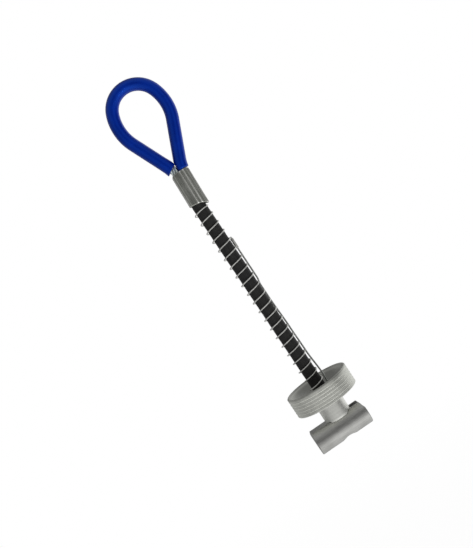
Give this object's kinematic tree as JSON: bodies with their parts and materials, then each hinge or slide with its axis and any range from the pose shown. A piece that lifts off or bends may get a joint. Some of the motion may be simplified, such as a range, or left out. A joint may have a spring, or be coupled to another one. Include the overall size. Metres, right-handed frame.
{
  "type": "cable toggle anchor",
  "caption": "Removable cable toggle anchor: sleeved wire-rope eye, pressed ferrule, sprung sliding collar, and a toggle bar that a thin release cable folds.",
  "frame": {"origin": "centre of the collar's underside, the face that rests on the structure, where the neck begins", "axes": "+Z along the rope's shaft towards the eye; the toggle bar lies along X and the eye is in the XZ plane"},
  "size_m": [0.0564, 0.0546, 0.3373],
  "materials": {
    "rope_steel": "stranded, bright",
    "eye_plastic": "glossy blue tube",
    "shaft_plastic": "matt black tube",
    "ferrule_aluminium": "pressed, dull",
    "ball_steel": "plain",
    "collar_aluminium": "turned",
    "toggle_steel": "satin",
    "spring_steel": "drawn wire",
    "release_steel": "fine stranded cable",
    "stop_metal": "crimped"
  },
  "bodies": {
    "rope": {"main_rope": "rope_steel", "eye_sleeve": "eye_plastic", "shaft_sleeve": "shaft_plastic", "ferrule": "ferrule_aluminium", "rope_end_ball": "ball_steel", "spring": "spring_steel"},
    "collar": {"collar": "collar_aluminium"},
    "release": {"release_cable": "release_steel", "release_stop": "stop_metal"},
    "toggle": {"toggle_bar": "toggle_steel", "release_ball": "ball_steel"}
  },
  "joints": [
    {"name": "collar_slide", "type": "slide", "parent": "rope", "child": "collar", "axis": [0, 0, 1], "range_m": [0, 0.1465], "stiffness_N_per_m": 200, "springref_m": -0.055, "deforming": ["spring"]},
    {"name": "toggle_fold", "type": "hinge", "parent": "rope", "child": "toggle", "pos_m": [0, 0, -0.0247], "axis": [0, -1, 0], "range_deg": [0, 90]},
    {"name": "release_slide", "type": "slide", "parent": "rope", "child": "release", "axis": [0, 0, 1], "range_m": [0, 0.0158]}
  ],
  "couplings": [
    {"joint": "toggle_fold", "follows": "collar_slide", "rad_per_m": 10.722},
    {"joint": "release_slide", "follows": "collar_slide", "ratio": 0.10787}
  ]
}
